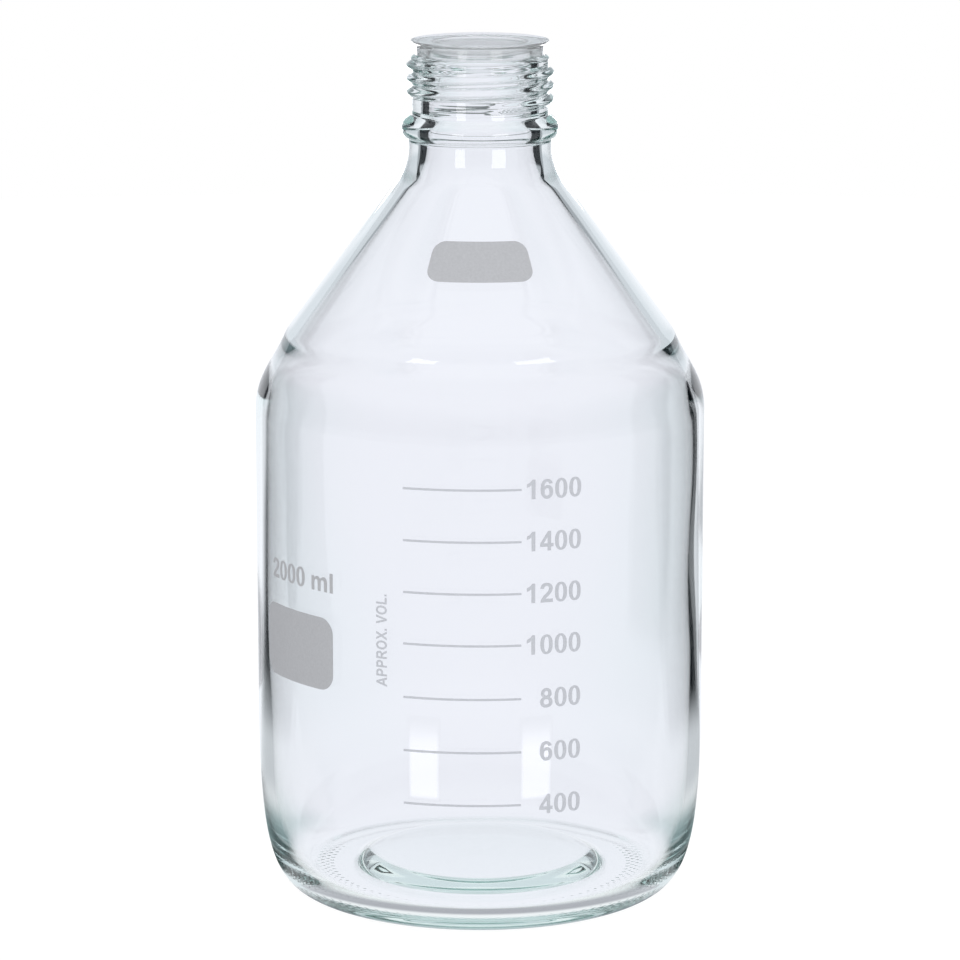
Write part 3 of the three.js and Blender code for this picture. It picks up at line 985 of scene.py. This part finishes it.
def text_mesh(text, place):
    """Letters as thin closed layers. place gives the angle and height of a point of the line."""
    vertices = []
    faces = []
    low = BODY_RADIUS + ENAMEL_GAP
    pen = 0
    for letter in text:
        advance, outlines = GLYPHS[letter]
        flat = [[Vector((x, y, 0)) for x, y in outline] for outline in outlines]
        front = tessellate_polygon(flat) if flat else []
        places = [place(pen + x, y) for outline in outlines for x, y in outline]
        first = len(vertices)
        count = len(places)
        for radius in (low, low + ENAMEL_THICKNESS):
            vertices += [polar(radius, angle, height) for angle, height in places]
        points = [point for outline in flat for point in outline]
        for a, b, c in front:
            turn = (points[b] - points[a]).cross(points[c] - points[a]).z
            if turn < 0:
                b, c = c, b
            faces.append((first + count + a, first + count + b, first + count + c))
            faces.append((first + a, first + c, first + b))
        at = first
        for outline in outlines:
            around = len(outline)
            area = sum(
                x * next_y - next_x * y
                for (x, y), (next_x, next_y) in zip(outline, outline[1:] + outline[:1])
            )
            outer = outline is outlines[0]
            for i in range(around):
                a, b = at + i, at + (i + 1) % around
                if (area > 0) != outer:
                    a, b = b, a
                faces.append((a, b, b + count, a + count))
            at += around
        pen += advance
    return vertices, faces


for i in range(LINE_COUNT):
    lower = min(i, LOWER_LINES)
    middle = FIRST_LINE_HEIGHT + LOWER_LINE_PITCH * lower + UPPER_LINE_PITCH * (i - lower)
    numeral = str(FIRST_VOLUME + VOLUME_STEP * i)
    across = NUMERAL_HEIGHT * NUMERAL_STRETCH / BODY_RADIUS
    left = NUMERAL_RIGHT - text_width(numeral) * across

    def numeral_place(x, y):
        return left + x * across, middle + (y - 0.5) * NUMERAL_HEIGHT

    enamel_piece("numeral_" + numeral, *text_mesh(numeral, numeral_place), enamel_pale)


def note_place(x, y):
    along = x * NOTE_HEIGHT * NOTE_STRETCH
    return NOTE_BASELINE - y * NOTE_HEIGHT / BODY_RADIUS, NOTE_FOOT + along


def volume_place(x, y):
    across = VOLUME_HEIGHT * VOLUME_STRETCH / BODY_RADIUS
    return VOLUME_LEFT + x * across, VOLUME_BASELINE + y * VOLUME_HEIGHT


enamel_piece("scale_note", *text_mesh("APPROX. VOL.", note_place), enamel_pale)
enamel_piece("volume_note", *text_mesh("2000 ml", volume_place), enamel)


# Studio: a white floor and backdrop, and around them the room that the glass mirrors
class Tree:
    """A node tree, with the few nodes that the studio is made of."""

    def __init__(self, nodes, links):
        self.nodes = nodes
        self.links = links

    def math(self, operation, *values):
        node = self.nodes.new("ShaderNodeMath")
        node.operation = operation
        for socket, value in zip(node.inputs, values):
            if isinstance(value, (int, float)):
                socket.default_value = value
            else:
                self.links.new(value, socket)
        return node.outputs["Value"]

    def product(self, first, second):
        return self.math("MULTIPLY", first, second)

    def opposite(self, value):
        return self.math("SUBTRACT", 1, value)

    def over(self, value, limit):
        return self.math("GREATER_THAN", value, limit)

    def step(self, value, low, high):
        """0 below low and 1 above high, with a soft passage."""
        step = self.nodes.new("ShaderNodeMapRange")
        step.interpolation_type = "SMOOTHSTEP"
        step.inputs["From Min"].default_value = low
        step.inputs["From Max"].default_value = high
        self.links.new(value, step.inputs["Value"])
        return step.outputs["Result"]

    def edge(self, value, at, softness):
        return self.step(value, at - softness, at + softness)

    def window(self, value, low, high, softness):
        """1 between low and high and 0 outside, with soft edges."""
        rise = self.edge(value, low, softness)
        return self.product(rise, self.opposite(self.edge(value, high, softness)))

    def colour(self, share, first, second):
        """The first colour where the share is 0 and the second where it is 1."""
        node = self.nodes.new("ShaderNodeMix")
        node.data_type = "RGBA"
        self.links.new(share, node.inputs["Factor"])
        for socket, value in ((node.inputs["A"], first), (node.inputs["B"], second)):
            if isinstance(value, tuple):
                socket.default_value = (*value, 1)
            else:
                self.links.new(value, socket)
        return node.outputs["Result"]

    def place(self, kind):
        return self.nodes.new("ShaderNodeTexCoord").outputs[kind]

    def parts(self, vector):
        split = self.nodes.new("ShaderNodeSeparateXYZ")
        self.links.new(vector, split.inputs["Vector"])
        return split.outputs

    def azimuth(self, parts):
        """The turn from straight back, and positive to the right."""
        return self.math("ARCTAN2", parts["X"], parts["Y"])

    def light_path(self):
        return self.nodes.new("ShaderNodeLightPath").outputs


# Limits that split the whole numbers of a ray's bounces
ONCE = 0.5
TWICE = 1.5

# Room: its colours, and where they pass into each other
SEEN_WHITE = (1, 1, 1)
THROUGH_WHITE = (0.915, 0.925, 1)
AMBIENT = (0.74, 0.75, 0.77)
PANEL = (0.92, 0.95, 1)
PANEL_HIGH = (0.72, 0.77, 0.82)
SIDE = (0.36, 0.39, 0.42)
FRONT = (0.16, 0.18, 0.2)
DIM = (0.13, 0.14, 0.16)
CEILING = (0.62, 0.65, 0.68)
BLACK = (0.004, 0.006, 0.008)
PANEL_EDGE = (32 * DEGREE, 1.2 * DEGREE)
PANEL_FADE = (-2 * DEGREE, 5 * DEGREE)
FRONT_FADE = (84 * DEGREE, 105 * DEGREE)
CEILING_FADE = (16 * DEGREE, 42 * DEGREE)
FLAG_INNER_EDGE = (39.7 * DEGREE, 0.5 * DEGREE)
FLAG_OUTER_EDGE = (78 * DEGREE, 1 * DEGREE)
FLAG_SPAN = (-10 * DEGREE, 38 * DEGREE, 2.5 * DEGREE)
FLAG_DROP = 20 * DEGREE
FLAG_DROP_FADE = (38 * DEGREE, 42 * DEGREE)

world = bpy.data.worlds.new("studio")
world.use_nodes = True
scene.world = world
tree = Tree(world.node_tree.nodes, world.node_tree.links)
parts = tree.parts(tree.place("Generated"))
path = tree.light_path()
mirrored = tree.over(path["Glossy Depth"], ONCE)
scattered = tree.over(path["Diffuse Depth"], ONCE)
from_back = tree.math("ABSOLUTE", tree.azimuth(parts))
elevation = tree.math("ARCSINE", parts["Z"])
off_axis = tree.math("ARCCOSINE", parts["Y"])

# The black flags, one on each side, whose outer parts hang lower
flag_inner = tree.edge(off_axis, *FLAG_INNER_EDGE)
flag_outer = tree.edge(from_back, *FLAG_OUTER_EDGE)
flag_drop = tree.step(from_back, *FLAG_DROP_FADE)
flag_height = tree.math("MULTIPLY_ADD", flag_drop, FLAG_DROP, elevation)
flag_across = tree.product(flag_inner, tree.opposite(flag_outer))
flag = tree.product(flag_across, tree.window(flag_height, *FLAG_SPAN))

# Sides and front, dim where the outside of the glass mirrors them, then panel, ceiling and flags
inside = tree.over(path["Transmission Depth"], ONCE)
panel = tree.colour(tree.step(elevation, *PANEL_FADE), PANEL, PANEL_HIGH)
room = tree.colour(tree.step(from_back, *FRONT_FADE), SIDE, FRONT)
room = tree.colour(inside, DIM, room)
room = tree.colour(tree.edge(from_back, *PANEL_EDGE), panel, room)
room = tree.colour(tree.step(elevation, *CEILING_FADE), room, CEILING)
room = tree.colour(flag, room, BLACK)
seen = tree.colour(path["Is Camera Ray"], THROUGH_WHITE, SEEN_WHITE)
sharp = tree.colour(mirrored, seen, room)
total = tree.colour(scattered, sharp, AMBIENT)
tree.links.new(total, tree.nodes["Background"].inputs["Color"])

# Floor: its colours, and where they pass into each other, round the axis and away from it
FLOOR_SIZE = 1500
FLOOR_SIDES = 96
FLOOR_DROP = 0.1
FLOOR_GREY = (0.8, 0.8, 0.8)
FLOOR_WHITE = (1.13, 1.13, 1.13)
FLOOR_NEAR = (0.9, 0.93, 0.95)
FLOOR_SIDE = (0.55, 0.58, 0.61)
FLOOR_FRONT = (0.09, 0.1, 0.11)
BASE_SHADE = (0.4, 0.41, 0.45)
HEEL_SHADE = (0.03, 0.06, 0.055)
WALL_SHADE = (0.26, 0.36, 0.37)
# Painted shade on the floor, seen only through the glass, which greys the sides of the glass body
PAINTED_SIDE_SHADE = (0.85, 0.905, 0.965)
# Painted shade on the floor beside the foot, seen only through the glass, which darkens the low
# wall
PAINTED_LOW_SHADE = (0.6, 0.7, 0.74)
SHADOW_SHARE = 0.2
RIGHT_FADE = (32 * DEGREE, 34 * DEGREE)
LEFT_FADE = (32.5 * DEGREE, 41 * DEGREE)
FLOOR_FRONT_FADE = (74 * DEGREE, 90 * DEGREE)
NEAR_FADE = (90 * MM, 160 * MM)
WEDGE_FADE = (200 * MM, 270 * MM)
BASE_BAND = (53.5 * MM, 59 * MM, 1.5 * MM)
HEEL_SPAN = (48 * DEGREE, 96 * DEGREE, 8 * DEGREE)
HEEL_BAND = (64 * MM, 78 * MM, 3 * MM)
WALL_SPAN = (44 * DEGREE, 96 * DEGREE, 8 * DEGREE)
WALL_RISE = (74 * MM, 82 * MM)
WALL_FALL = (92 * MM, 130 * MM)
# Where the painted shade behind the sides of the glass lies
THROUGH_SIDE_FADE = (4 * DEGREE, 17 * DEGREE)
THROUGH_SIDE_BAND = (240 * MM, 900 * MM, 200 * MM)
# Where the painted shade beside the foot lies
THROUGH_LOW_FADE = (40 * DEGREE, 62 * DEGREE)
THROUGH_LOW_BAND = (72 * MM, 150 * MM, 10 * MM)

floor_mesh = bpy.data.meshes.new("floor")
plan = bmesh.new()
bmesh.ops.create_circle(plan, cap_ends=True, segments=FLOOR_SIDES, radius=FLOOR_SIZE * MM)
plan.to_mesh(floor_mesh)
plan.free()
floor = bpy.data.objects.new("floor", floor_mesh)
floor.location = (0, 0, -FLOOR_DROP * MM)
scene.collection.objects.link(floor)

made, nodes, links, shader, output = material("floor")
shader.inputs["Base Color"].default_value = (*FLOOR_GREY, 1)
shader.inputs["Roughness"].default_value = 1
shader.inputs["Specular IOR Level"].default_value = 0
tree = Tree(nodes, links)
place = tree.place("Object")
path = tree.light_path()
mirrored = tree.over(path["Glossy Depth"], ONCE)
mirrored_twice = tree.over(path["Glossy Depth"], TWICE)
scattered = tree.over(path["Diffuse Depth"], ONCE)
azimuth = tree.azimuth(tree.parts(place))
from_back = tree.math("ABSOLUTE", azimuth)
length = nodes.new("ShaderNodeVectorMath")
length.operation = "LENGTH"
links.new(place, length.inputs[0])
reach = length.outputs["Value"]

# What mirrored rays find on it: the panel's light behind, a black wedge under each flag, and shade
# at the bottle's base, heel and wall
right = tree.step(azimuth, *RIGHT_FADE)
left = tree.step(tree.math("MULTIPLY", azimuth, -1), *LEFT_FADE)
beside = tree.math("MAXIMUM", right, left)
wedge = tree.product(beside, tree.opposite(tree.edge(from_back, *FLAG_OUTER_EDGE)))
wedge = tree.product(wedge, tree.step(reach, *WEDGE_FADE))
front = tree.product(tree.step(from_back, *FLOOR_FRONT_FADE), mirrored_twice)
heel = tree.product(tree.window(from_back, *HEEL_SPAN), tree.window(reach, *HEEL_BAND))
wall = tree.product(tree.window(from_back, *WALL_SPAN), tree.step(reach, *WALL_RISE))
wall = tree.product(wall, tree.opposite(tree.step(reach, *WALL_FALL)))
around = tree.colour(front, FLOOR_SIDE, FLOOR_FRONT)
around = tree.colour(beside, PANEL, around)
around = tree.colour(tree.step(reach, *NEAR_FADE), FLOOR_NEAR, around)
around = tree.colour(wedge, around, BLACK)
around = tree.colour(tree.window(reach, *BASE_BAND), around, BASE_SHADE)
around = tree.colour(heel, around, HEEL_SHADE)
around = tree.colour(wall, around, WALL_SHADE)

# What rays straight through the glass find: white, and painted shade a little greyer to the sides
# and beside the foot
painted_side_shade = tree.product(
    tree.step(from_back, *THROUGH_SIDE_FADE), tree.window(reach, *THROUGH_SIDE_BAND)
)
painted_low_shade = tree.product(
    tree.step(from_back, *THROUGH_LOW_FADE), tree.window(reach, *THROUGH_LOW_BAND)
)
through = tree.colour(painted_side_shade, THROUGH_WHITE, PAINTED_SIDE_SHADE)
through = tree.colour(painted_low_shade, through, PAINTED_LOW_SHADE)
seen = tree.colour(path["Is Camera Ray"], through, FLOOR_WHITE)
glow = nodes.new("ShaderNodeEmission")
links.new(tree.colour(mirrored, seen, around), glow.inputs["Color"])

# Scattered rays, shadow rays and a share of the camera's see a plain floor, which keeps the shadow
plain = tree.math("MAXIMUM", scattered, tree.product(path["Is Camera Ray"], SHADOW_SHARE))
plain = tree.math("MAXIMUM", plain, path["Is Shadow Ray"])
blend = nodes.new("ShaderNodeMixShader")
links.new(plain, blend.inputs["Fac"])
links.new(glow.outputs["Emission"], blend.inputs[1])
links.new(shader.outputs["BSDF"], blend.inputs[2])
links.new(blend.outputs["Shader"], output.inputs["Surface"])
made.cycles.emission_sampling = "NONE"
floor_mesh.materials.append(made)

# Reflector cards, which only mirrored rays see, two in front and two behind at each level: their
# outline in radius and height, the angles of the two, and how much of a card its soft sides, foot
# and top take up
CARD_GLOW = 4.2
CARD_STEPS = 6
CARDS = {
    "upper": (
        ((95, 212), (95, 234), (110, 248.2)),
        ((-35.2 * DEGREE, -20.8 * DEGREE), (16.5 * DEGREE, 36.3 * DEGREE)),
        (0.03, 0.03, 0.03),
    ),
    "lower": (
        ((110, 28.5), (110, 57.5)),
        ((-25.8 * DEGREE, -13.8 * DEGREE), (13.8 * DEGREE, 25.8 * DEGREE)),
        (0.14, 0.08, 0.4),
    ),
}


def card_material(name, side, foot, top):
    """White in the middle, with soft sides, foot and top."""
    made, nodes, links, shader, output = material(name)
    nodes.remove(shader)
    tree = Tree(nodes, links)
    parts = tree.parts(tree.place("Generated"))
    across, up = parts["X"], parts["Z"]
    sides = tree.product(tree.step(across, 0, side), tree.step(tree.opposite(across), 0, side))
    ends = tree.product(tree.step(up, 0, foot), tree.step(tree.opposite(up), 0, top))
    glow = nodes.new("ShaderNodeEmission")
    glow.inputs["Color"].default_value = (1, 1, 1, 1)
    links.new(tree.product(tree.product(sides, ends), CARD_GLOW), glow.inputs["Strength"])
    links.new(glow.outputs["Emission"], output.inputs["Surface"])
    made.cycles.emission_sampling = "NONE"
    return made


def hide_from(thing, *rays):
    for ray in rays:
        setattr(thing, "visible_" + ray, False)


def card_mesh(outline, start, end):
    """An outline swept from one angle to another."""
    vertices = []
    faces = []
    count = len(outline)
    for i in range(CARD_STEPS + 1):
        angle = mix(start, end, i / CARD_STEPS)
        vertices += [polar(radius, angle, height) for radius, height in outline]
    for i in range(CARD_STEPS):
        for k in range(count - 1):
            a = count * i + k
            faces.append((a, a + 1, a + count + 1, a + count))
    return vertices, faces


for level, (outline, spans, softness) in CARDS.items():
    card_finish = card_material("reflector_" + level, *softness)
    for side, (start, end) in enumerate(spans):
        for back in range(2):
            turn = back * math.pi
            name = "card_%s_%d_%d" % (level, side, back)
            card = add_mesh(name, *card_mesh(outline, start + turn, end + turn))
            card.data.materials.append(card_finish)
            hide_from(card, "camera", "diffuse", "transmission", "volume_scatter", "shadow")

# Lamps: one from each side in front, aimed at the middle of the bottle
LAMP_WIDTH = 700
LAMP_HEIGHT = 1000
LAMP_POWER = 5.5
LAMP_ASIDE = 900
LAMP_AHEAD = 1200
LAMP_UP = 900
LAMP_AIM = 120

for name, side in (("key", -1), ("fill", 1)):
    lamp_data = bpy.data.lights.new(name, "AREA")
    lamp_data.shape = "RECTANGLE"
    lamp_data.size = LAMP_WIDTH * MM
    lamp_data.size_y = LAMP_HEIGHT * MM
    lamp_data.energy = LAMP_POWER
    lamp = bpy.data.objects.new(name, lamp_data)
    lamp.location = (side * LAMP_ASIDE * MM, -LAMP_AHEAD * MM, LAMP_UP * MM)
    aim = Vector((0, 0, LAMP_AIM * MM)) - lamp.location
    lamp.rotation_euler = aim.to_track_quat("-Z", "Y").to_euler()
    hide_from(lamp, "camera", "glossy", "transmission")
    scene.collection.objects.link(lamp)

# Enough bounces for light that runs round inside the wall
scene.cycles.max_bounces = 64
scene.cycles.transmission_bounces = 48
scene.cycles.glossy_bounces = 48
scene.cycles.transparent_max_bounces = 16
scene.view_settings.view_transform = "Standard"
